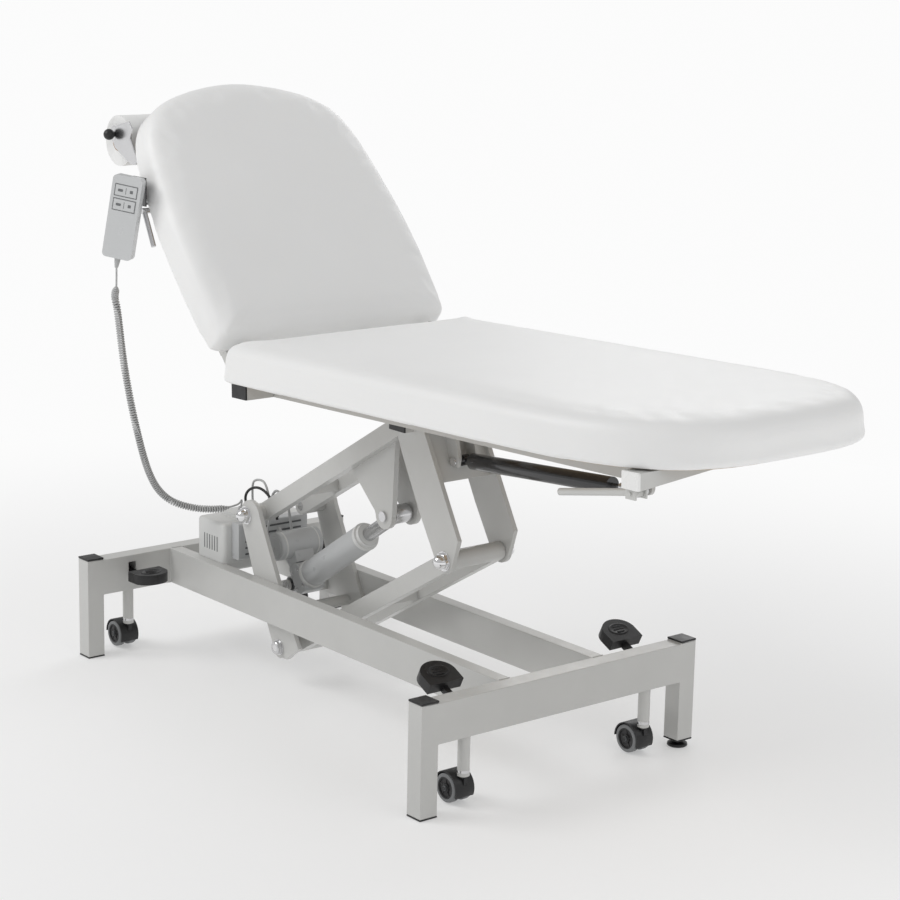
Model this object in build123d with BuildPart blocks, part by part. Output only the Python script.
# Examination couch on a castered base with a parallel-arm lift: an actuator raises the
# lift head, gas springs hold the tilting seat and the backrest, and a paper roll hangs
# behind the backrest. Millimetres: +X towards the foot end, +Z up, "near" is -Y, origin
# on the floor under the middle of the base.
from build123d import *
import math
import os

os.makedirs("parts", exist_ok=True)

# ---------------------------------------------------------------- driving sizes
CLEAR = 0.05  # radial clearance of running fits
FIT = 0.02  # pins are this much under their hole radius

# base
HALF_L, HALF_W = 1230.0 / 2, 700.0 / 2
LEG, LEG_TOP, LEG_WALL = 40.0, 224.0, 2.5
CAP_THICK, SOLE_THICK = 4.0, 3.0
LEG_X, LEG_Y = HALF_L - LEG / 2, HALF_W - LEG / 2
LEG_XS, LEG_YS = (HALF_L - LEG, HALF_L), (HALF_W - LEG, HALF_W)
BEAM_BOTTOM, BEAM_TOP = 142.0, 222.0
BEAM_ZS = (BEAM_BOTTOM, BEAM_TOP)
RAIL_YS, RAIL_WALL = (105.0, 135.0), 2.0
FOOT_LIFT = 18.0  # the far leg at the foot end stops here, over its levelling foot

# casters and brake pedals
FOOT_CASTER_Y, HEAD_CASTER_Y = 232.0, 236.0
PEDAL_AXLE_Z, PEDAL_AXLE_R = 183.0, 4.0
PEDAL_UP = 26.0  # degrees, foot end pedals only
WHEEL_R, CASTER_OFFSET = 29.0, 26.0
WHEEL_Z = WHEEL_R + 2.0
STEM_BOTTOM = 60.0

# lift linkage pivots as (x, z)
UPPER_BASE = (-316.0, 350.0)
LOWER_BASE = (-189.0, 83.0)
ARM = (523.0, 308.0)
UPPER_HEAD = (UPPER_BASE[0] + ARM[0], UPPER_BASE[1] + ARM[1])
LOWER_HEAD = (LOWER_BASE[0] + ARM[0], LOWER_BASE[1] + ARM[1])
ARM_LEN = math.hypot(*ARM)
UPPER_BASE_R, LOWER_BASE_R, UPPER_HEAD_R, LOWER_HEAD_R = 10.0, 9.0, 9.0, 10.0
ARM_IN, ARM_OUT, ARM_HALF = 39.0, 64.0, 19.0  # |Y| faces and half depth of the arm rails
BASE_PLATE_IN, BASE_PLATE_OUT = 95.0, 105.0
HEAD_PLATE_IN, HEAD_PLATE_OUT = 67.0, 77.0

# actuator
ACT_TOP, ACT_REAR = (88.0, 424.0), (-265.0, 192.0)
ACT_LEN = math.dist(ACT_TOP, ACT_REAR)
ACT_TUBE_R, ACT_ROD_R = 30.0, 15.0
ACT_TUBE_END = ACT_LEN - 132.0
ACT_TOP_PIN_R, ACT_REAR_PIN_R = 7.0, 6.0
MOTOR_R, MOTOR_HALF = 31.0, 55.0

# tilt spring, end pivots as (x, z)
TILT_SPRING_LOW, TILT_SPRING_HIGH = (298.0, 579.0), (800.0, 620.0)
TILT_SPRING_LEN = math.dist(TILT_SPRING_LOW, TILT_SPRING_HIGH)
SPRING_PIN_R = 5.0

# Seat and backrest use local coordinates: s along the cushion from the line where
# their tops meet, h down from the cushion top.
SEAM = (-104.0, 786.0)  # (x, z) of the meeting line
TILT, BACK = math.radians(2.1), math.radians(49.3)
COS_TILT, SIN_TILT = math.cos(TILT), math.sin(TILT)
COS_BACK, SIN_BACK = math.cos(BACK), math.sin(BACK)
FOAM, SEAT_BOARD, BACK_BOARD = 63.0, 20.5, 15.0
END_GAP, END_R = 9.0, 32.0  # gap from the meeting line, round-over of the cushion ends
HINGE_H, HINGE_R = 32.0, 4.0
HINGE = (0, -HINGE_H)  # in the side sketches, (s, -h)
HINGE_EAR_R = 7.5

# seat outline and frame
SEAT_HALF, SEAT_LEN, SEAT_STRAIGHT = 325.0, 1283.0, 800.0
SEAT_POWER = 3.3  # superellipse exponent of the foot end
TUBE_TOP, TUBE_BOTTOM = 83.5, 113.5
TUBE_HS = (TUBE_TOP, TUBE_BOTTOM)
HINGE_TUBE_SS = (16, 66)
SEAT_RAIL_IN, SEAT_RAIL_OUT = 200.0, 230.0
SEAT_RAIL_YS = (SEAT_RAIL_IN, SEAT_RAIL_OUT)
# the foot tube is deep at the lever end and shallow from TAPER_END_Y onwards
FOOT_SS = (1150.0, 1191.0)
FOOT_NEAR_Y, FOOT_FAR_Y, TAPER_END_Y = -280.0, 230.0, -92.0
FOOT_BOTTOM = 97.0
TILT_LEVER_Y, TILT_LEVER_S, TILT_LEVER_H = -262.0, 1163.0, 122.5
TILT_LEVER_PIN_R = 3.0

# backrest frame, spring, lever and paper roll
BACK_TUBE_HS = (78.0, 103.0)
BACK_RAIL_YS = (216.0, 241.0)
BACK_LOW_SS, BACK_HIGH_SS = (22, 47), (500, 525)
BACK_SPRING_Y = 166.0
BACK_SPRING_SEAT_S, BACK_SPRING_SEAT_H = 452.0, 150.0
BACK_SPRING_BACK_S, BACK_SPRING_BACK_H = -68, 127
BACK_SPRING_R = 4.0
BACK_LEVER_Y, BACK_LEVER_S, BACK_LEVER_H = -294, 378.0, 90.0
BACK_LEVER_R = 6.0
ROLL_S, ROLL_H, ROLL_R, CORE_R = 590.0, 138.0, 54.0, 22.0
# the roll hangs on a thin bar that touches the top of its core
BAR_R, BAR_DROP = 5.0, 14.45
BAR_S, BAR_H = ROLL_S + BAR_DROP * SIN_BACK, ROLL_H - BAR_DROP * COS_BACK


# ---------------------------------------------------------------- planes and points
def side(y):
    """Sketch in (x, z); a positive extrude goes towards -Y."""
    return Plane(origin=(0, y, 0), x_dir=(1, 0, 0), z_dir=(0, -1, 0))


def seat_point(s, y, h):
    return (SEAM[0] + s * COS_TILT + h * SIN_TILT, y, SEAM[1] + s * SIN_TILT - h * COS_TILT)


def back_point(s, y, h):
    return (SEAM[0] - s * COS_BACK - h * SIN_BACK, y, SEAM[1] + s * SIN_BACK - h * COS_BACK)


def seat_plan(h):
    return Plane(origin=seat_point(0, 0, h), x_dir=(COS_TILT, 0, SIN_TILT),
                 z_dir=(-SIN_TILT, 0, COS_TILT))


def back_plan(h):
    """Sketch in (s, -y)."""
    return Plane(origin=back_point(0, 0, h), x_dir=(-COS_BACK, 0, SIN_BACK),
                 z_dir=(SIN_BACK, 0, COS_BACK))


def seat_side(y):
    """Sketch in (s, -h); a positive extrude goes towards -Y."""
    return Plane(origin=seat_point(0, y, 0), x_dir=(COS_TILT, 0, SIN_TILT), z_dir=(0, -1, 0))


def back_side(y):
    """Sketch in (s, -h); a positive extrude goes towards +Y."""
    return Plane(origin=back_point(0, y, 0), x_dir=(-COS_BACK, 0, SIN_BACK), z_dir=(0, 1, 0))


def on_seat_side(point):
    """Turn an (x, z) point into seat side sketch coordinates (s, -h)."""
    dx, dz = point[0] - SEAM[0], point[1] - SEAM[1]
    return dx * COS_TILT + dz * SIN_TILT, -dx * SIN_TILT + dz * COS_TILT


def shift(point, dx, dz):
    return (point[0] + dx, point[1] + dz)


def line_through(start, end):
    """Return a function giving the (x, z) point at a distance along, and off to the left."""
    angle = math.atan2(end[1] - start[1], end[0] - start[0])
    dx, dz = math.cos(angle), math.sin(angle)
    return lambda dist, off=0.0: shift(start, dist * dx - off * dz, dist * dz + off * dx)


def inset(span, wall):
    return (span[0] + wall, span[1] - wall)


def times(sign, span):
    return (sign * span[0], sign * span[1])


# ---------------------------------------------------------------- shape helpers
def block(xs, ys, zs, mode=Mode.ADD):
    """Box from its extents; each pair may run either way."""
    with Locations((sum(xs) / 2, sum(ys) / 2, sum(zs) / 2)):
        Box(abs(xs[1] - xs[0]), abs(ys[1] - ys[0]), abs(zs[1] - zs[0]), mode=mode)


def square_block(x, y, half, zs):
    block((x - half, x + half), (y - half, y + half), zs)


def slab(plane, us, vs, thick, mode):
    with BuildSketch(plane) as sketch:
        with Locations((sum(us) / 2, sum(vs) / 2)):
            Rectangle(abs(us[1] - us[0]), abs(vs[1] - vs[0]))
    extrude(sketch.sketch, amount=thick, mode=mode)


def seat_box(ss, ys, hs, mode=Mode.ADD):
    slab(seat_plan(hs[1]), ss, ys, hs[1] - hs[0], mode)


def back_box(ss, ys, hs, mode=Mode.ADD):
    slab(back_plan(hs[1]), ss, times(-1, ys), hs[1] - hs[0], mode)


def prism(plane, points, amount, mode=Mode.ADD):
    with BuildSketch(plane) as sketch:
        with BuildLine():
            Polyline(*points, close=True)
        make_face()
    extrude(sketch.sketch, amount=amount, mode=mode)


def disc(plane, centre, radius, amount, mode=Mode.ADD, inner=0.0):
    with BuildSketch(plane) as sketch:
        with Locations(centre):
            Circle(radius)
            if inner:
                Circle(inner, mode=Mode.SUBTRACT)
    extrude(sketch.sketch, amount=amount, mode=mode)


def bar_y(face, centre, radius, half, y=0.0, mode=Mode.ADD):
    """Bar along Y, reaching half its length either side of y (side or seat_side)."""
    disc(face(y + half), centre, radius, 2 * half, mode)


def bore_y(face, centre, radius, half, y=0.0):
    bar_y(face, centre, radius, half, y, Mode.SUBTRACT)


def disc_pair(face, centre, radius, inner, outer):
    """Two mirrored discs between |Y| = inner and outer."""
    for y in (outer, -inner):
        disc(face(y), centre, radius, outer - inner)


def tapered_link(plane, start, end, start_r, end_r, amount):
    """Flat bar with round ends about two centres."""
    dx, dy = end[0] - start[0], end[1] - start[1]
    length = math.hypot(dx, dy)
    nx, ny = -dy / length, dx / length
    with BuildSketch(plane) as sketch:
        with Locations(start):
            Circle(start_r)
        with Locations(end):
            Circle(end_r)
        with BuildLine():
            Polyline(shift(start, nx * start_r, ny * start_r), shift(end, nx * end_r, ny * end_r),
                     shift(end, -nx * end_r, -ny * end_r),
                     shift(start, -nx * start_r, -ny * start_r), close=True)
        make_face()
    extrude(sketch.sketch, amount=amount)


def rod_between(start, end, radius, mode=Mode.ADD):
    axis = Vector(*end) - Vector(*start)
    with BuildSketch(Plane(origin=start, z_dir=axis.normalized())) as sketch:
        Circle(radius)
    extrude(sketch.sketch, amount=axis.length, mode=mode)


def rod_on(line, start, end, radius, y=0.0, mode=Mode.ADD):
    """Rod on a line_through line, between two distances along it."""
    (x0, z0), (x1, z1) = line(start), line(end)
    rod_between((x0, y, z0), (x1, y, z1), radius, mode)


def dome_nut(centre, face_y):
    """Washer, hexagon and dome outside the plate face at face_y."""
    out = math.copysign(1, face_y)
    disc(side(face_y), centre, 20.0, -out * 2.0)
    with BuildSketch(side(face_y + out * 2.0)) as sketch:
        with Locations(centre):
            RegularPolygon(18.0, 6)
    extrude(sketch.sketch, amount=-out * 7.0)
    with Locations((centre[0], face_y + out * 9.0, centre[1])):
        Sphere(15.3)
    # trim what the sphere leaves inside the plate face
    disc(side(face_y), centre, 30.0, out * 20.0, Mode.SUBTRACT)


def save(builder, name):
    builder.part.label = name
    export_step(builder.part, f"parts/{name}.step")


# ---------------------------------------------------------------- base
CORNERS = [(end, hand) for end in (-1, 1) for hand in (-1, 1)]
# caster stations: name, x, y
STATIONS = [
    ("foot_near", LEG_X, -FOOT_CASTER_Y),
    ("foot_far", LEG_X, FOOT_CASTER_Y),
    ("head_near", -LEG_X, -HEAD_CASTER_Y),
    ("head_far", -LEG_X, HEAD_CASTER_Y),
]


def has_levelling_foot(end, hand):
    return end > 0 and hand > 0


def leg_zs(end, hand):
    return (FOOT_LIFT if has_levelling_foot(end, hand) else SOLE_THICK, LEG_TOP)


# legs, end beams and two long rails, then hollowed
with BuildPart() as base_frame:
    for end, hand in CORNERS:
        block(times(end, LEG_XS), times(hand, LEG_YS), leg_zs(end, hand))
    for end in (-1, 1):
        block(times(end, LEG_XS), (-HALF_W + LEG, HALF_W - LEG), BEAM_ZS)
    for hand in (-1, 1):
        block((-HALF_L + LEG, HALF_L - LEG), times(hand, RAIL_YS), BEAM_ZS)
    for end in (-1, 1):
        hollow_xs = times(end, inset(LEG_XS, LEG_WALL))
        for hand in (-1, 1):
            block(hollow_xs, times(hand, inset(LEG_YS, LEG_WALL)), leg_zs(end, hand),
                  Mode.SUBTRACT)
        block(hollow_xs, (-HALF_W + LEG, HALF_W - LEG), inset(BEAM_ZS, LEG_WALL), Mode.SUBTRACT)
    for hand in (-1, 1):
        block((-HALF_L + LEG, HALF_L - LEG), times(hand, inset(RAIL_YS, RAIL_WALL)),
              inset(BEAM_ZS, RAIL_WALL), Mode.SUBTRACT)
    # stem guide sleeves in the beam floor
    for name, x, y in STATIONS:
        disc(Plane.XY.offset(BEAM_BOTTOM), (x, y), 16.0, 20.0)
    for name, x, y in STATIONS:
        disc(Plane.XY.offset(BEAM_BOTTOM - 1), (x, y), 12.0 + CLEAR, 24.0, Mode.SUBTRACT)
        # slot in the inner wall for the pedal arm
        slot_xs = (HALF_L - LEG - 1, HALF_L - LEG + 4)
        block(times(math.copysign(1, x), slot_xs), (y - 9, y + 9), (167, 207), Mode.SUBTRACT)
        # cheeks beside the slot, which seat the pedal axle
        for hand in (-1, 1):
            cheek_y = y + hand * 15
            block((x - 12, x + 12), (cheek_y - 2.5, cheek_y + 2.5),
                  (PEDAL_AXLE_Z - 10, BEAM_TOP - 1))
    for name, x, y in STATIONS:
        bore_y(side, (x, PEDAL_AXLE_Z), PEDAL_AXLE_R, 20, y)
save(base_frame, "base_frame")

# caps on both ends of the legs, each with a plug inside the tube
CAP_HALF, PLUG_HALF = 20.5, 17.4
with BuildPart() as leg_caps:
    for end, hand in CORNERS:
        x, y = end * LEG_X, hand * LEG_Y
        square_block(x, y, CAP_HALF, (LEG_TOP, LEG_TOP + CAP_THICK))
        square_block(x, y, PLUG_HALF, (LEG_TOP - 10, LEG_TOP))
        if not has_levelling_foot(end, hand):
            square_block(x, y, CAP_HALF, (0, SOLE_THICK))
            square_block(x, y, PLUG_HALF, (SOLE_THICK, SOLE_THICK + 10))
    # the levelling foot screws into its own cap
    square_block(LEG_X, LEG_Y, CAP_HALF, (FOOT_LIFT - SOLE_THICK, FOOT_LIFT))
    square_block(LEG_X, LEG_Y, PLUG_HALF, (FOOT_LIFT, FOOT_LIFT + 16))
    disc(Plane.XY.offset(FOOT_LIFT - 4), (LEG_X, LEG_Y), 4.0 + CLEAR, 22, Mode.SUBTRACT)
save(leg_caps, "leg_caps")

# half profile of the levelling foot: radius, z
LEVELLING_PROFILE = [
    (0, 0), (19, 0), (21, 2), (20, 6), (12, 8.5), (7, 9), (7, 13.5), (4, 13.5), (4, 46), (0, 46),
]
with BuildPart() as levelling_foot:
    with BuildSketch(Plane.XZ.offset(-LEG_Y)):
        with BuildLine():
            Polyline(*[(LEG_X + radius, z) for radius, z in LEVELLING_PROFILE], close=True)
        make_face()
    revolve(axis=Axis((LEG_X, LEG_Y, 0), (0, 0, 1)))
save(levelling_foot, "levelling_foot")

with BuildPart() as pedal_axles:
    for name, x, y in STATIONS:
        bar_y(side, (x, PEDAL_AXLE_Z), PEDAL_AXLE_R - FIT, 19, y)
save(pedal_axles, "pedal_axles")


# ---------------------------------------------------------------- caster stations
def make_pedal(name, x, y):
    """Arm and pad; the arm points inboard and, at the foot end, upwards too."""
    angle = math.radians(180.0 - PEDAL_UP if x > 0 else 0.0)
    turn = 1 if x > 0 else -1
    arm_dir = (math.cos(angle), math.sin(angle))
    top_dir = (turn * math.sin(angle), -turn * math.cos(angle))

    def on_arm(dist, up):
        return (x + arm_dir[0] * dist + top_dir[0] * up,
                PEDAL_AXLE_Z + arm_dir[1] * dist + top_dir[1] * up)

    with BuildPart() as pedal:
        bar_y(side, (x, PEDAL_AXLE_Z), 8.0, 7, y)
        prism(side(y + 6), [on_arm(0, -6), on_arm(78, -6), on_arm(78, 6), on_arm(0, 6)], 12.0)
        # thick D-shaped pad, with its nose at the far end
        pad_x, pad_z = on_arm(68, -4)
        pad_plane = Plane(origin=(pad_x, y, pad_z), x_dir=(arm_dir[0], 0, arm_dir[1]),
                          z_dir=(top_dir[0], 0, top_dir[1]))
        with BuildSketch(pad_plane):
            with BuildLine():
                Polyline((0, -40), (29, -40), (29, 40), (0, 40), close=True)
            make_face()
            with Locations((28, 0)):
                Ellipse(32, 40)
            with Locations((-30, 0)):
                Rectangle(60, 120, mode=Mode.SUBTRACT)
        extrude(amount=22)
        bore_y(side, (x, PEDAL_AXLE_Z), PEDAL_AXLE_R + CLEAR, 8, y)
    save(pedal, f"pedal_{name}")


def make_stem(name, x, y):
    with BuildPart() as stem:
        disc(Plane.XY.offset(STEM_BOTTOM), (x, y), 12.0, 114.0 if x > 0 else 99.0)
        disc(Plane.XY.offset(STEM_BOTTOM - 2), (x, y), 8.0, 2.0)
        disc(Plane.XY.offset(50), (x, y), 5.5, 14.0, Mode.SUBTRACT)
    save(stem, f"caster_stem_{name}")


def make_fork(name, x, y):
    """Swivel pin, web between the wheels, hood over them and the wheel axle."""
    wheel_x = x - CASTER_OFFSET
    wheel = (wheel_x, WHEEL_Z)
    with BuildPart() as fork:
        disc(Plane.XY.offset(44), (x, y), 5.0, 19.0)
        disc(Plane.XY.offset(55.5), (x, y), 8.0, 2.3)
        bar_y(side, wheel, 32.0, 4.5, y)
        block((wheel_x - 40, wheel_x + 40), (y - 10, y + 10), (-10, WHEEL_Z - 12), Mode.SUBTRACT)
        prism(side(y + 4.5), [wheel, (x + 3, 38), (x + 8, 44), (x + 8, 56),
                              shift(wheel, 0, 25)], 9.0)
        with BuildSketch(side(y + 22)):
            with Locations(wheel):
                Circle(33.5)
                Circle(31.0, mode=Mode.SUBTRACT)
            # open the hood below
            with BuildLine():
                Polyline(shift(wheel, -40, -2), shift(wheel, 4, 6), shift(wheel, 30, -12),
                         shift(wheel, 40, -40), shift(wheel, -40, -40), close=True)
            make_face(mode=Mode.SUBTRACT)
        extrude(amount=44)
        # clear the hood around the swivel pin, under the stem
        disc(Plane.XY.offset(57.8), (x, y), 13.2, 20, Mode.SUBTRACT, inner=5.3)
        bar_y(side, wheel, 4.0, 26, y)
    save(fork, f"caster_fork_{name}")


def make_wheels(name, x, y):
    with BuildPart() as wheels:
        for hand in (-1, 1):
            disc(side(y + hand * 14.0 + 8.5), (x - CASTER_OFFSET, WHEEL_Z), WHEEL_R, 17.0,
                 inner=4.0 + CLEAR)
        circles = wheels.edges().filter_by(GeomType.CIRCLE)
        chamfer(circles.filter_by(lambda edge: edge.radius > 20), 3.0)
    save(wheels, f"caster_wheels_{name}")


for station in STATIONS:
    make_pedal(*station)
    make_stem(*station)
    make_fork(*station)
    make_wheels(*station)

# ---------------------------------------------------------------- fixed linkage plates
# Mirrored plates drawn on side() or seat_side() start at -inner and +outer |Y|.
on_upper = line_through(UPPER_BASE, UPPER_HEAD)
on_lower = line_through(LOWER_BASE, LOWER_HEAD)
on_actuator = line_through(ACT_REAR, ACT_TOP)

# outline of a base plate: x, z
BASE_PLATE = [
    (-336, 340), (-289, 228), (-234, 124), (-213, 83), (-189, 62), (-161, 62),
    (-118, 96), (-150, 146), (-196, 227), (-268, 362), (-301, 380),
]
with BuildPart() as arm_base_plates:
    for y in (-BASE_PLATE_IN, BASE_PLATE_OUT):
        prism(side(y), BASE_PLATE, 10.0)
        disc(side(y), shift(UPPER_BASE, 15, 0), 36.0, 10.0)
        disc(side(y), LOWER_BASE, 24.0, 10.0)
    # spacer tube low down between the plates
    rod_between((-215, -95, 150), (-215, 95, 150), 12.0)
    rod_between((-215, -96, 150), (-215, 96, 150), 9.0, Mode.SUBTRACT)
    bore_y(side, UPPER_BASE, UPPER_BASE_R, 120)
    bore_y(side, LOWER_BASE, LOWER_BASE_R, 120)
save(arm_base_plates, "arm_base_plates")

with BuildPart() as arm_shafts:
    for face_y in (BASE_PLATE_OUT, -BASE_PLATE_OUT):
        dome_nut(UPPER_BASE, face_y)
    disc_pair(side, UPPER_BASE, UPPER_BASE_R - FIT, 38, 105.5)
    bar_y(side, LOWER_BASE, LOWER_BASE_R - FIT, 112)
    for hand in (-1, 1):
        disc(side(hand * BASE_PLATE_OUT), LOWER_BASE, 17.0, -hand * 3.0)
        disc(side(hand * (BASE_PLATE_OUT + 3)), LOWER_BASE, 13.0, -hand * 9.0)
    # rear pin of the actuator
    bar_y(side, ACT_REAR, ACT_REAR_PIN_R - FIT, 36)
    disc_pair(side, ACT_REAR, 9.0, 34, 38)
save(arm_shafts, "arm_shafts")

# cross tube between the rails, with two ears for the actuator's rear pin
BRACKET_XS, BRACKET_ZS, BRACKET_WALL = (-330, -300), (152, 182), 2.5
with BuildPart() as actuator_bracket:
    block(BRACKET_XS, times(RAIL_YS[0], (-1, 1)), BRACKET_ZS)
    block(inset(BRACKET_XS, BRACKET_WALL), times(RAIL_YS[0], (-1, 1)),
          inset(BRACKET_ZS, BRACKET_WALL), Mode.SUBTRACT)
    for y in (-28, 34):
        tapered_link(side(y), (-306, 172), ACT_REAR, 12.0, 12.0, 6.0)
    bore_y(side, ACT_REAR, ACT_REAR_PIN_R, 40)
save(actuator_bracket, "actuator_rear_bracket")

# ---------------------------------------------------------------- control box
with BuildPart() as control_box:
    block((-500, -392), (-112, 112), (222, 312))
    fillet(control_box.edges().filter_by(Axis.Z), 10)
    fillet(control_box.faces().sort_by(Axis.Z)[-1].edges(), 8)
    block((-492, -400), (-104, 104), (204, 222))
    block((-480, -412), (-60, 60), (312, 322))
save(control_box, "control_box")

with BuildPart() as battery_pack:
    block((-391.8, -364), (-92, 92), (234, 316))
    fillet(battery_pack.edges().filter_by(Axis.Y), 5)
save(battery_pack, "battery_pack")

# cable route: x, y, z
CONTROL_CABLE = [
    (-430, -20, 327), (-424, -33, 362), (-372, -35, 390), (-322, -34, 372), (-302, -33, 332),
]
with BuildPart() as control_cables:
    with BuildLine() as path:
        Spline(*CONTROL_CABLE)
    with BuildSketch(Plane(origin=path.line @ 0, z_dir=path.line % 0)):
        Circle(3.0)
    sweep(path=path.line)
save(control_cables, "control_cables")


# ---------------------------------------------------------------- lift arms
def arm_rails(on_arm, start):
    """Twin rails with round ends about both pivots; the straight part begins at start."""
    width = ARM_OUT - ARM_IN
    outline = [on_arm(start, -ARM_HALF), on_arm(ARM_LEN, -ARM_HALF),
               on_arm(ARM_LEN, ARM_HALF), on_arm(start, ARM_HALF)]
    for y in (-ARM_IN, ARM_OUT):
        prism(side(y), outline, width)
        disc(side(y), on_arm(0), ARM_HALF, width)
        disc(side(y), on_arm(ARM_LEN), ARM_HALF, width)


def arm_cross_tubes(on_arm, distances):
    for dist in distances:
        x, z = on_arm(dist)
        block((x - 12, x + 12), (-40, 40), (z - 12, z + 12))


with BuildPart() as upper_arm:
    arm_rails(on_upper, -2)
    # pivot sleeves at the base and at the head
    for base_y, head_y in ((-ARM_IN, -36.0), (94.5, 66.0)):
        disc(side(base_y), UPPER_BASE, 19.0, 55.5)
        disc(side(head_y), UPPER_HEAD, 17.0, 30.0)
    arm_cross_tubes(on_upper, (150, 478))
    # actuator lugs hanging from the rails
    for y in (-27.0, 39.0):
        prism(side(y), [on_upper(330, -17), on_upper(500, -17), shift(ACT_TOP, 28, 8),
                        shift(ACT_TOP, 18, -18), shift(ACT_TOP, -20, -18),
                        shift(ACT_TOP, -30, 6)], 12.0)
        disc(side(y), ACT_TOP, 27.0, 12.0)
    bore_y(side, UPPER_BASE, UPPER_BASE_R + CLEAR, 110)
    bore_y(side, UPPER_HEAD, UPPER_HEAD_R + CLEAR, 80)
    bore_y(side, ACT_TOP, ACT_TOP_PIN_R, 50)
save(upper_arm, "upper_arm")

with BuildPart() as actuator_top_pin:
    bar_y(side, ACT_TOP, ACT_TOP_PIN_R - FIT, 41)
    disc_pair(side, ACT_TOP, 11.0, 39, 44)
save(actuator_top_pin, "actuator_top_pin")

with BuildPart() as lower_arm:
    arm_rails(on_lower, 0)
    bar_y(side, LOWER_BASE, ARM_HALF, 94.5)
    bar_y(side, LOWER_HEAD, ARM_HALF, 66.0)
    arm_cross_tubes(on_lower, (90, 330))
    bore_y(side, LOWER_BASE, LOWER_BASE_R + CLEAR, 110)
    bore_y(side, LOWER_HEAD, LOWER_HEAD_R + 0.1, 80)
save(lower_arm, "lower_arm")

# ---------------------------------------------------------------- actuator
with BuildPart() as actuator_rod:
    rod_on(on_actuator, 122, ACT_LEN - 18, ACT_ROD_R)
    bar_y(side, ACT_TOP, 20.0, 20)
    bore_y(side, ACT_TOP, ACT_TOP_PIN_R + CLEAR, 24)
save(actuator_rod, "actuator_rod")

with BuildPart() as actuator_tube:
    rod_on(on_actuator, 56, ACT_TUBE_END, ACT_TUBE_R)
    rod_on(on_actuator, ACT_TUBE_END - 2, ACT_TUBE_END + 10, ACT_TUBE_R - 5)
    rod_on(on_actuator, 50, ACT_TUBE_END + 14, ACT_ROD_R + CLEAR, mode=Mode.SUBTRACT)
save(actuator_tube, "actuator_tube")

with BuildPart() as actuator_gearbox:
    prism(side(26), [on_actuator(18, -33), on_actuator(56, -33), on_actuator(56, 33),
                     on_actuator(18, 33)], 52.0)
    fillet(actuator_gearbox.edges().filter_by(Axis.Y), 9)
    prism(side(22), [on_actuator(-10, -14), on_actuator(20, -18), on_actuator(20, 18),
                     on_actuator(-10, 14)], 44.0)
    bar_y(side, ACT_REAR, 18.0, 22)
    bore_y(side, ACT_REAR, 15.0, 40)
    rod_on(on_actuator, 49, 60, ACT_ROD_R + 6, mode=Mode.SUBTRACT)
save(actuator_gearbox, "actuator_gearbox")

# the motor lies across the couch on top of the gearbox
with BuildPart() as actuator_motor:
    bar_y(side, on_actuator(37, 80), MOTOR_R, MOTOR_HALF)
    fillet(actuator_motor.edges().filter_by(GeomType.CIRCLE), 5)
    prism(side(24), [on_actuator(20, 33), on_actuator(54, 33), on_actuator(60, 68),
                     on_actuator(14, 68)], 48.0)
save(actuator_motor, "actuator_motor")

# ---------------------------------------------------------------- lift head
# outline of a head plate: x, z
HEAD_PLATE = [
    shift(UPPER_HEAD, -26, 17), shift(UPPER_HEAD, -26, -46), shift(UPPER_HEAD, -15, -71),
    (253, 474), (311, 380), (334, 366), (357, 380), (376, 440), (316, 546), (262, 642),
    shift(UPPER_HEAD, 50, -8), shift(UPPER_HEAD, 24, 17),
]
# ear for the tilt spring: x, z
SPRING_EAR = [
    shift(UPPER_HEAD, 48, -12), shift(UPPER_HEAD, 88, -12), shift(TILT_SPRING_LOW, 13, 8),
    shift(TILT_SPRING_LOW, 9, -11), shift(TILT_SPRING_LOW, -10, -11),
    shift(UPPER_HEAD, 60, -60),
]
STUB_XS = (UPPER_HEAD[0] - 26, UPPER_HEAD[0] + 24)
STUB_ZS = (UPPER_HEAD[1] - 25, UPPER_HEAD[1] + 17)
STUB_END = 97.0
with BuildPart() as lift_head:
    for hand, y in ((-1, -HEAD_PLATE_IN), (1, HEAD_PLATE_OUT)):
        prism(side(y), HEAD_PLATE, 10.0)
        disc(side(y), LOWER_HEAD, 25.0, 10.0)
        # square stub over the upper pivot, outside the plate and through it
        block(STUB_XS, times(hand, (HEAD_PLATE_OUT, STUB_END)), STUB_ZS)
        block(STUB_XS, times(hand, (HEAD_PLATE_IN, HEAD_PLATE_OUT)), STUB_ZS)
    # sloping cross plate between the side plates
    prism(side(HEAD_PLATE_IN), [shift(UPPER_HEAD, 42, -14), shift(UPPER_HEAD, 50, -14),
                                shift(UPPER_HEAD, 92, -118), shift(UPPER_HEAD, 84, -118)],
          2 * HEAD_PLATE_IN)
    for y in (-18.0, 26.0):
        prism(side(y), SPRING_EAR, 8.0)
    # flat plate along the top edge of the cross plate
    block((UPPER_HEAD[0] + 42, UPPER_HEAD[0] + 96), (-HEAD_PLATE_IN, HEAD_PLATE_IN),
          (UPPER_HEAD[1] - 16, UPPER_HEAD[1] - 8))
    bore_y(side, UPPER_HEAD, UPPER_HEAD_R, 105)
    bore_y(side, LOWER_HEAD, LOWER_HEAD_R, 105)
    bore_y(side, TILT_SPRING_LOW, SPRING_PIN_R, 40)
save(lift_head, "lift_head")

with BuildPart() as head_stub_caps:
    for hand in (-1, 1):
        block(STUB_XS, times(hand, (STUB_END, STUB_END + 4)), STUB_ZS)
save(head_stub_caps, "head_stub_caps")

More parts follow.
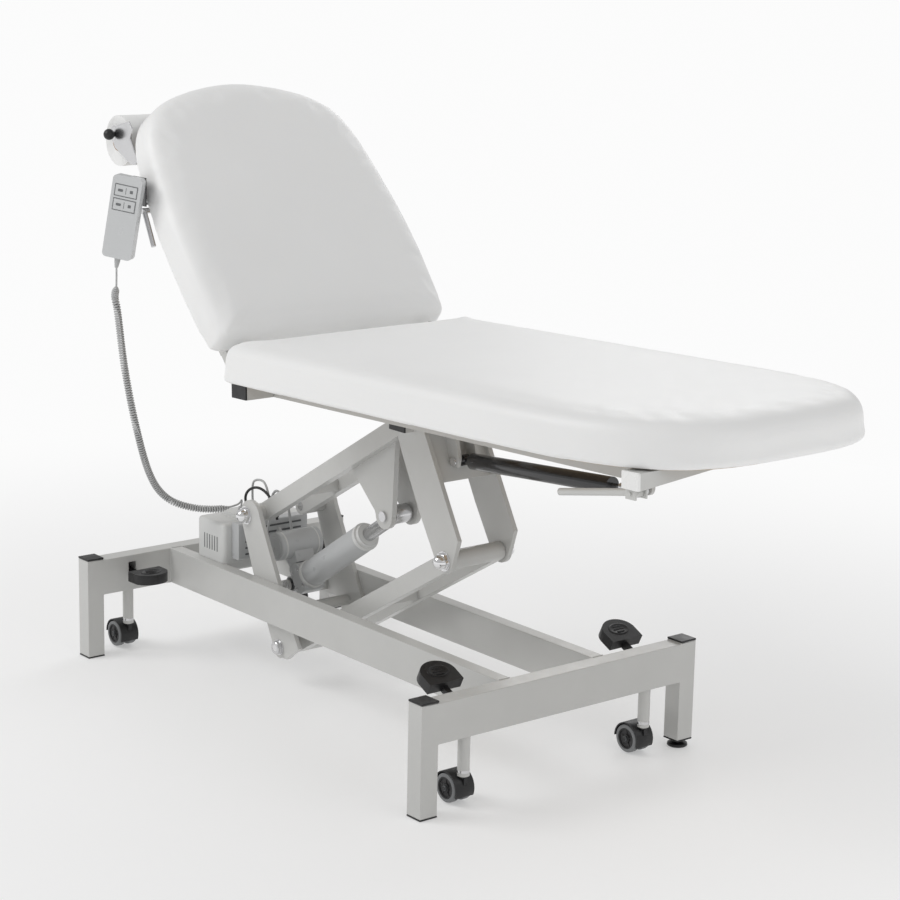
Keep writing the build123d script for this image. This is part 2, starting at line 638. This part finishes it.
with BuildPart() as head_shafts:
    for face_y in (HEAD_PLATE_OUT, -HEAD_PLATE_OUT):
        dome_nut(LOWER_HEAD, face_y)
    bar_y(side, UPPER_HEAD, UPPER_HEAD_R - FIT, 95)
    bar_y(side, LOWER_HEAD, LOWER_HEAD_R - FIT, 77.5)
    # bolt of the tilt spring
    bar_y(side, TILT_SPRING_LOW, SPRING_PIN_R - FIT, 27)
    disc_pair(side, TILT_SPRING_LOW, 8.0, 26, 31)
save(head_shafts, "head_shafts")

# ---------------------------------------------------------------- seat frame
# pivots in seat side sketch coordinates (s, -h)
TILT_AXIS = on_seat_side(UPPER_HEAD)
SPRING_AXIS = on_seat_side(TILT_SPRING_HIGH)
BACK_SPRING_AXIS = (BACK_SPRING_SEAT_S, -BACK_SPRING_SEAT_H)
TILT_LEVER_AXIS = (TILT_LEVER_S, -TILT_LEVER_H)
PLUG_GAP = 2.2  # from the outside of a tube to the plug in it
INNER_YS = (-SEAT_RAIL_IN, SEAT_RAIL_IN)

# hinge ear of the seat frame: s, -h
SEAT_HINGE_EAR = [
    (-7.5, -HINGE_H), (7.5, -HINGE_H), (7.5, -84.5), (17, -84.5), (17, -110), (-7.5, -110),
]
with BuildPart() as seat_frame:
    seat_box(HINGE_TUBE_SS, (-294, 294), TUBE_HS)
    seat_box(FOOT_SS, (FOOT_NEAR_Y, FOOT_FAR_Y), (TUBE_TOP, FOOT_BOTTOM))
    # tapering underside of the foot tube, drawn in (y, -h)
    prism(Plane(origin=seat_point(FOOT_SS[0], 0, 0), x_dir=(0, 1, 0),
                z_dir=(COS_TILT, 0, SIN_TILT)),
          [(FOOT_NEAR_Y, -FOOT_BOTTOM + 4), (TAPER_END_Y, -FOOT_BOTTOM + 4),
           (TAPER_END_Y, -FOOT_BOTTOM), (FOOT_NEAR_Y, -TUBE_BOTTOM)], FOOT_SS[1] - FOOT_SS[0])
    for hand in (-1, 1):
        seat_box((HINGE_TUBE_SS[1], FOOT_SS[0]), times(hand, SEAT_RAIL_YS), TUBE_HS)
    # cross tubes
    seat_box((TILT_AXIS[0] - 25, TILT_AXIS[0] + 25), INNER_YS, TUBE_HS)
    seat_box((440, 465), INNER_YS, TUBE_HS)
    seat_box((SPRING_AXIS[0] - 15, SPRING_AXIS[0] + 15), INNER_YS, TUBE_HS)
    # hollow the hinge tube, the foot tube and the rails
    seat_box(inset(HINGE_TUBE_SS, 2), (-295, 295), inset(TUBE_HS, 2), Mode.SUBTRACT)
    seat_box(inset(FOOT_SS, 2), (FOOT_NEAR_Y - 1, FOOT_FAR_Y + 1),
             (TUBE_TOP + 2, FOOT_BOTTOM - 2), Mode.SUBTRACT)
    seat_box(inset(FOOT_SS, 2), (FOOT_NEAR_Y - 1, FOOT_NEAR_Y + 12),
             (TUBE_TOP + 2, TUBE_BOTTOM - 3), Mode.SUBTRACT)
    for hand in (-1, 1):
        seat_box((60, FOOT_SS[0] + 8), times(hand, inset(SEAT_RAIL_YS, 2)), inset(TUBE_HS, 2),
                 Mode.SUBTRACT)
    # tilt lugs down to the head shaft, with their roots in the cross tube
    for hand, y in ((-1, -26.0), (1, 34.0)):
        tapered_link(seat_side(y), TILT_AXIS, (TILT_AXIS[0], -(TUBE_BOTTOM - 1)), 16.0, 20.0, 8.0)
        seat_box((TILT_AXIS[0] - 25, TILT_AXIS[0] + 25), times(hand, (26, 34)), TUBE_HS)
    # ears for the foot end of the tilt spring
    for y in (-18.0, 26.0):
        tapered_link(seat_side(y), SPRING_AXIS, (SPRING_AXIS[0], -(TUBE_BOTTOM - 2)),
                     12.0, 15.0, 8.0)
    # ear for the backrest spring
    tapered_link(seat_side(156), BACK_SPRING_AXIS, (BACK_SPRING_SEAT_S, -(TUBE_BOTTOM - 2)),
                 11.0, 12.0, 8.0)
    # hinge ears standing in the gap between the cushions
    for y in (-250.0, 255.0):
        prism(seat_side(y), SEAT_HINGE_EAR, 5.0)
        disc(seat_side(y), HINGE, HINGE_EAR_R, 5.0)
    bore_y(seat_side, HINGE, HINGE_R, 300)
    bore_y(seat_side, TILT_AXIS, UPPER_HEAD_R + CLEAR, 60)
    bore_y(seat_side, SPRING_AXIS, SPRING_PIN_R, 60)
    bore_y(seat_side, BACK_SPRING_AXIS, BACK_SPRING_R, 50, 150)
save(seat_frame, "seat_frame")

# end caps of the hinge tube and the foot tube, each with a plug
with BuildPart() as seat_frame_caps:
    for hand in (-1, 1):
        seat_box(HINGE_TUBE_SS, times(hand, (294, 298)), TUBE_HS)
        seat_box(inset(HINGE_TUBE_SS, PLUG_GAP), times(hand, (284, 294)),
                 inset(TUBE_HS, PLUG_GAP))
    seat_box(FOOT_SS, (FOOT_NEAR_Y - 4, FOOT_NEAR_Y), TUBE_HS)
    seat_box(inset(FOOT_SS, PLUG_GAP), (FOOT_NEAR_Y, FOOT_NEAR_Y + 10),
             (TUBE_TOP + PLUG_GAP, TUBE_BOTTOM - 5))
    seat_box(FOOT_SS, (FOOT_FAR_Y, FOOT_FAR_Y + 4), (TUBE_TOP, FOOT_BOTTOM))
    seat_box(inset(FOOT_SS, PLUG_GAP), (FOOT_FAR_Y - 10, FOOT_FAR_Y),
             inset((TUBE_TOP, FOOT_BOTTOM), PLUG_GAP))
save(seat_frame_caps, "seat_frame_caps")

# anchor points of the backrest spring: x, z
BACK_SPRING_LOW = seat_point(BACK_SPRING_SEAT_S, 0, BACK_SPRING_SEAT_H)[::2]
BACK_SPRING_HIGH = back_point(BACK_SPRING_BACK_S, 0, BACK_SPRING_BACK_H)[::2]
BACK_SPRING_LEN = math.dist(BACK_SPRING_LOW, BACK_SPRING_HIGH)

with BuildPart() as seat_pins:
    # hinge pins and their heads
    for pin_y, head_y in ((-242.0, -255.5), (258.0, 258.0)):
        disc(seat_side(pin_y), HINGE, HINGE_R - CLEAR, 16.0)
        disc(seat_side(head_y), HINGE, 6.5, 2.5)
    bar_y(seat_side, SPRING_AXIS, SPRING_PIN_R - FIT, 27)
    disc_pair(seat_side, SPRING_AXIS, 8.0, 26, 31)
    # anchor pin of the backrest spring
    disc(side(BACK_SPRING_Y + 10), BACK_SPRING_LOW, BACK_SPRING_R - CLEAR, 46.0)
save(seat_pins, "seat_pins")

# ---------------------------------------------------------------- boards and cushions
# half outline of the backrest: s, y
BACK_HALF = [
    (END_GAP, 297), (60, 302), (130, 306), (200, 308), (290, 305), (371, 297), (440, 288),
    (490, 279), (530, 266), (565, 246), (592, 217), (615, 178), (634, 122), (647, 61), (652, 0),
]
BACK_TOP_START = 560  # the lengthwise inset grows from nothing here to full at the top


def mirror_y(points):
    return [(s, -y) for s, y in points]


def seat_outline(margin, start):
    """Straight sides, then a superelliptic foot end; for use inside a BuildLine."""
    half = SEAT_HALF - margin
    reach = SEAT_LEN - SEAT_STRAIGHT - margin
    points = []
    for i in range(0, 25, 2):
        angle = math.pi / 2 * (1 - i / 24)
        points.append((SEAT_STRAIGHT + reach * math.cos(angle) ** (2 / SEAT_POWER),
                       half * math.sin(angle) ** (2 / SEAT_POWER)))
    Spline(*points, tangents=((1, 0), (0, -1)))
    Spline(*mirror_y(points), tangents=((1, 0), (0, 1)))
    Line((SEAT_STRAIGHT, half), (start, half))
    Line((start, half), (start, -half))
    Line((start, -half), (SEAT_STRAIGHT, -half))


def back_outline(margin, start):
    """BACK_HALF and its mirror image, inset by margin; for use inside a BuildLine."""
    top_len = BACK_HALF[-1][0] - BACK_TOP_START
    points = [(s - margin * max(s - BACK_TOP_START, 0) / top_len, max(y - margin, 0.0))
              for s, y in BACK_HALF]
    points[0] = (start, points[0][1])
    Spline(*points, tangents=((1, 0.05), (0, -1)))
    Spline(*mirror_y(points), tangents=((1, -0.05), (0, 1)))
    Line(points[0], (start, -points[0][1]))


def make_board(name, plan, outline, thick):
    with BuildPart() as board:
        with BuildSketch(plan(FOAM + thick)):
            with BuildLine():
                outline(10.0, END_GAP + 1.0)
            make_face()
        extrude(amount=thick - 0.2)
    save(board, name)


def make_cushion(name, plan, outline, face, start, half):
    """Foam whose hinge end is rounded over; start is the Y sign that face extrudes from."""
    round_s = END_GAP + END_R
    with BuildPart() as cushion:
        with BuildSketch(plan(FOAM)):
            with BuildLine():
                outline(2.0, END_GAP)
            make_face()
        extrude(amount=FOAM)
        # cut the square corner away, then put a quarter round in its place
        prism(face(start * 400), [(END_GAP - 1, 5), (END_GAP - 1, -HINGE_H),
                                  (round_s, -HINGE_H), (round_s, 5)], 800.0, Mode.SUBTRACT)
        with BuildSketch(face(start * half)):
            with Locations((round_s, -HINGE_H)):
                Circle(END_R)
            with Locations((round_s + 50, -HINGE_H)):
                Rectangle(100, 200, mode=Mode.SUBTRACT)
            with Locations((round_s, -HINGE_H - 50)):
                Rectangle(200, 100, mode=Mode.SUBTRACT)
        extrude(amount=2 * half)
    save(cushion, name)


make_board("seat_board", seat_plan, seat_outline, SEAT_BOARD)
make_cushion("seat_cushion", seat_plan, seat_outline, seat_side, 1, SEAT_HALF - 2)
make_board("back_board", back_plan, back_outline, BACK_BOARD)
make_cushion("back_cushion", back_plan, back_outline, back_side, -1, 294)

# ---------------------------------------------------------------- tilt spring and lever
on_tilt_spring = line_through(TILT_SPRING_LOW, TILT_SPRING_HIGH)

with BuildPart() as tilt_spring_cylinder:
    rod_on(on_tilt_spring, 26, 430, 16.5)
    rod_on(on_tilt_spring, 8, 28, 7.0)
    bar_y(side, TILT_SPRING_LOW, 11.0, 8)
    bore_y(side, TILT_SPRING_LOW, SPRING_PIN_R + CLEAR, 20)
    rod_on(on_tilt_spring, 60, 432, 5.0 + CLEAR, mode=Mode.SUBTRACT)
save(tilt_spring_cylinder, "tilt_spring_cylinder")

with BuildPart() as tilt_spring_rod:
    rod_on(on_tilt_spring, 120, TILT_SPRING_LEN - 20, 5.0)
    rod_on(on_tilt_spring, TILT_SPRING_LEN - 50, TILT_SPRING_LEN - 9, 8.5)
    bar_y(side, TILT_SPRING_HIGH, 13.0, 9)
    bore_y(side, TILT_SPRING_HIGH, 6.0, 20)
save(tilt_spring_rod, "tilt_spring_rod")

# two tabs just under the taper of the foot tube, and the lever's pin
TAB_THICK = 3.5
with BuildPart() as tilt_lever_bracket:
    for tab_y in (TILT_LEVER_Y - 14, TILT_LEVER_Y + 10.5):
        taper = (tab_y + TAB_THICK - FOOT_NEAR_Y) / (TAPER_END_Y - FOOT_NEAR_Y)
        tube_h = TUBE_BOTTOM - (TUBE_BOTTOM - FOOT_BOTTOM) * taper
        seat_box((TILT_LEVER_S - 12, TILT_LEVER_S + 12), (tab_y, tab_y + TAB_THICK),
                 (tube_h + 0.35, TILT_LEVER_H + 10))
    bore_y(seat_side, TILT_LEVER_AXIS, TILT_LEVER_PIN_R, 30, TILT_LEVER_Y)
    bar_y(seat_side, TILT_LEVER_AXIS, TILT_LEVER_PIN_R - FIT, 17, TILT_LEVER_Y)
save(tilt_lever_bracket, "tilt_lever_bracket")

# bends of the lever from its pin: ds, dh
TILT_LEVER_BENDS = [(0, 0), (-20, 2.5), (-55, 8), (-190, 30)]
with BuildPart() as tilt_lever:
    with BuildLine() as path:
        FilletPolyline(*[seat_point(TILT_LEVER_S + ds, TILT_LEVER_Y, TILT_LEVER_H + dh)
                         for ds, dh in TILT_LEVER_BENDS], radius=16)
    with BuildSketch(Plane(origin=path.line @ 0, z_dir=path.line % 0)):
        Circle(6.5)
    sweep(path=path.line)
    bar_y(seat_side, TILT_LEVER_AXIS, 7.5, 10, TILT_LEVER_Y)
    bore_y(seat_side, TILT_LEVER_AXIS, TILT_LEVER_PIN_R + CLEAR, 30, TILT_LEVER_Y)
save(tilt_lever, "tilt_lever")

# ---------------------------------------------------------------- backrest frame
# outlines in back side sketch coordinates: s, -h
BACK_HINGE_EAR = [
    (-7.5, -HINGE_H), (7.5, -HINGE_H), (7.5, -80), (23, -80), (23, -101), (-7.5, -101),
]
SPRING_LUG_ROOT = -(BACK_TUBE_HS[0] + 1)
SPRING_LUG = [
    (46, SPRING_LUG_ROOT), (46, -139), (-68, -139), (-68, -117), (22, -117),
    (22, SPRING_LUG_ROOT),
]
ROLL_BRACKET = [
    (611, -112), (587, -64), (566, -62), (556, -84), (504, -90), (504, -106),
    (516, -118), (578, -146), (606, -142),
]
BACK_SPRING_LUG_AXIS = (BACK_SPRING_BACK_S, -BACK_SPRING_BACK_H)
BACK_LEVER_AXIS = (BACK_LEVER_S, -BACK_LEVER_H)
BAR_AXIS = (BAR_S, -BAR_H)
ROLL_AXIS = (ROLL_S, -ROLL_H)

with BuildPart() as back_frame:
    back_box(BACK_LOW_SS, (-250, 250), BACK_TUBE_HS)
    back_box(BACK_HIGH_SS, (-241, 241), BACK_TUBE_HS)
    for hand in (-1, 1):
        back_box((47, 500), times(hand, BACK_RAIL_YS), BACK_TUBE_HS)
    # hollow the tubes
    hollow_hs = inset(BACK_TUBE_HS, 2)
    back_box(inset(BACK_LOW_SS, 2), (-248, 248), hollow_hs, Mode.SUBTRACT)
    back_box(inset(BACK_HIGH_SS, 2), (-239, 239), hollow_hs, Mode.SUBTRACT)
    for hand in (-1, 1):
        back_box((45, 502), times(hand, inset(BACK_RAIL_YS, 2)), hollow_hs, Mode.SUBTRACT)
    # hinge ears, inside those of the seat frame
    for y in (-249.5, 244.5):
        prism(back_side(y), BACK_HINGE_EAR, 5.0)
        disc(back_side(y), HINGE, HINGE_EAR_R, 5.0)
    # hooked lug for the backrest spring, passing under the hinge tube
    prism(back_side(152), SPRING_LUG, 8.0)
    disc(back_side(152), BACK_SPRING_LUG_AXIS, 12.0, 8.0)
    disc(back_side(-300), HINGE, HINGE_R + CLEAR, 600.0, Mode.SUBTRACT)
    disc(back_side(140), BACK_SPRING_LUG_AXIS, 4.2, 40.0, Mode.SUBTRACT)
    disc(back_side(-245), BACK_LEVER_AXIS, BACK_LEVER_R + CLEAR, 14.0, Mode.SUBTRACT)
save(back_frame, "back_frame")

# ---------------------------------------------------------------- paper roll
with BuildPart() as roll_brackets:
    for hand, y in ((-1, -259.0), (1, 256.0)):
        prism(back_side(y), ROLL_BRACKET, 3.0)
        disc(back_side(y), BAR_AXIS, 18.0, 3.0)
        back_box((504, 526), times(hand, (200, 259)), (BACK_TUBE_HS[1], BACK_TUBE_HS[1] + 3))
    disc(back_side(-300), BAR_AXIS, BAR_R + 0.1, 600.0, Mode.SUBTRACT)
save(roll_brackets, "roll_brackets")

with BuildPart() as roll_bar:
    disc(back_side(-270), BAR_AXIS, BAR_R, 540.0)
    for hand in (-1, 1):
        with Locations(back_point(BAR_S, hand * 272, BAR_H)):
            Sphere(12.0)
save(roll_bar, "roll_bar")

with BuildPart() as roll_core:
    disc(back_side(-250), ROLL_AXIS, CORE_R, 500.0, inner=CORE_R - 2.5)
save(roll_core, "roll_core")

with BuildPart() as paper_roll:
    disc(back_side(-248), ROLL_AXIS, ROLL_R, 496.0, inner=CORE_R + CLEAR)
save(paper_roll, "paper_roll")

# ---------------------------------------------------------------- backrest spring and lever
on_back_spring = line_through(BACK_SPRING_LOW, BACK_SPRING_HIGH)

with BuildPart() as back_spring_cylinder:
    rod_on(on_back_spring, 20, 215, 11.0, BACK_SPRING_Y)
    bar_y(side, BACK_SPRING_LOW, 9.0, 8, BACK_SPRING_Y)
    rod_on(on_back_spring, 4, 22, 6.0, BACK_SPRING_Y)
    disc(side(BACK_SPRING_Y + 12), BACK_SPRING_LOW, BACK_SPRING_R, 40.0, Mode.SUBTRACT)
    rod_on(on_back_spring, 40, 217, BACK_SPRING_R + CLEAR, BACK_SPRING_Y, Mode.SUBTRACT)
save(back_spring_cylinder, "back_spring_cylinder")

with BuildPart() as back_spring_rod:
    rod_on(on_back_spring, 143, BACK_SPRING_LEN - 8, BACK_SPRING_R, BACK_SPRING_Y)
    bar_y(side, BACK_SPRING_HIGH, 9.0, 4, BACK_SPRING_Y)
    bore_y(side, BACK_SPRING_HIGH, BACK_SPRING_R, 6, BACK_SPRING_Y)
save(back_spring_rod, "back_spring_rod")

# bends of the lever from its shaft: ds, dh
BACK_LEVER_BENDS = [(0, 0), (-20, 4), (-78, 18)]
with BuildPart() as back_lever:
    disc(back_side(-300), BACK_LEVER_AXIS, BACK_LEVER_R, 70.0)
    with BuildLine() as path:
        FilletPolyline(*[back_point(BACK_LEVER_S + ds, BACK_LEVER_Y, BACK_LEVER_H + dh)
                         for ds, dh in BACK_LEVER_BENDS], radius=10)
    with BuildSketch(Plane(origin=path.line @ 0, z_dir=path.line % 0)):
        Circle(5.5)
    sweep(path=path.line)
save(back_lever, "back_lever")

# ---------------------------------------------------------------- handset
HANDSET_CENTRE = (-412.0, -347.0, 1005.0)
HANDSET_W, HANDSET_L, HANDSET_T = 64.0, 174.0, 24.0
LEAN, TURN = math.radians(9.5), math.radians(40.0)
HANDSET_PLANE = Plane(
    origin=HANDSET_CENTRE,
    x_dir=(math.cos(TURN) * math.cos(LEAN), math.sin(TURN) * math.cos(LEAN), -math.sin(LEAN)),
    z_dir=(math.sin(TURN), -math.cos(TURN), 0.0))
KEY_W, KEY_L = 46.0, 22.0
KEY_ROWS = {"upper": 56, "lower": 26}  # height above the handset centre

with BuildPart() as handset_hook:
    prism(side(-241), [(-442, 1026), (-420, 1026), (-420, 1030), (-442, 1052)], 3.0)
    block((-442, -420), (-306, -241), (1026, 1029))
    block((-442, -393), (-306, -303), (1026, 1086))
save(handset_hook, "handset_hook")

with BuildPart() as handset_body:
    with BuildSketch(HANDSET_PLANE.offset(-HANDSET_T / 2)):
        RectangleRounded(HANDSET_W, HANDSET_L, 9)
    extrude(amount=HANDSET_T)
    # key pockets
    with BuildSketch(HANDSET_PLANE.offset(HANDSET_T / 2 - 4)):
        for row in KEY_ROWS.values():
            with Locations((0, row)):
                Rectangle(KEY_W + 0.4, KEY_L + 0.4)
    extrude(amount=6, mode=Mode.SUBTRACT)
save(handset_body, "handset_body")

for name, row in KEY_ROWS.items():
    with BuildPart() as key:
        with BuildSketch(HANDSET_PLANE.offset(HANDSET_T / 2 - 2.2)):
            with Locations((0, row)):
                Rectangle(KEY_W, KEY_L)
        extrude(amount=3.0)
    save(key, f"handset_key_{name}")

# route from just below the handset to the control box: x, y, z
HANDSET_CABLE = [
    HANDSET_PLANE.from_local_coords(Vector(0, -93, 0)),
    (-497, -318, 812), (-492, -300, 663), (-462, -290, 535), (-475, -250, 428),
    (-482, -205, 370), (-455, -160, 347), (-419, -108, 342), (-424, -60, 333),
]
with BuildPart() as handset_cable:
    with BuildLine() as path:
        Spline(*HANDSET_CABLE)
    with BuildSketch(Plane(origin=path.line @ 0, z_dir=path.line % 0)):
        Circle(5.5)
    sweep(path=path.line)
save(handset_cable, "handset_cable")
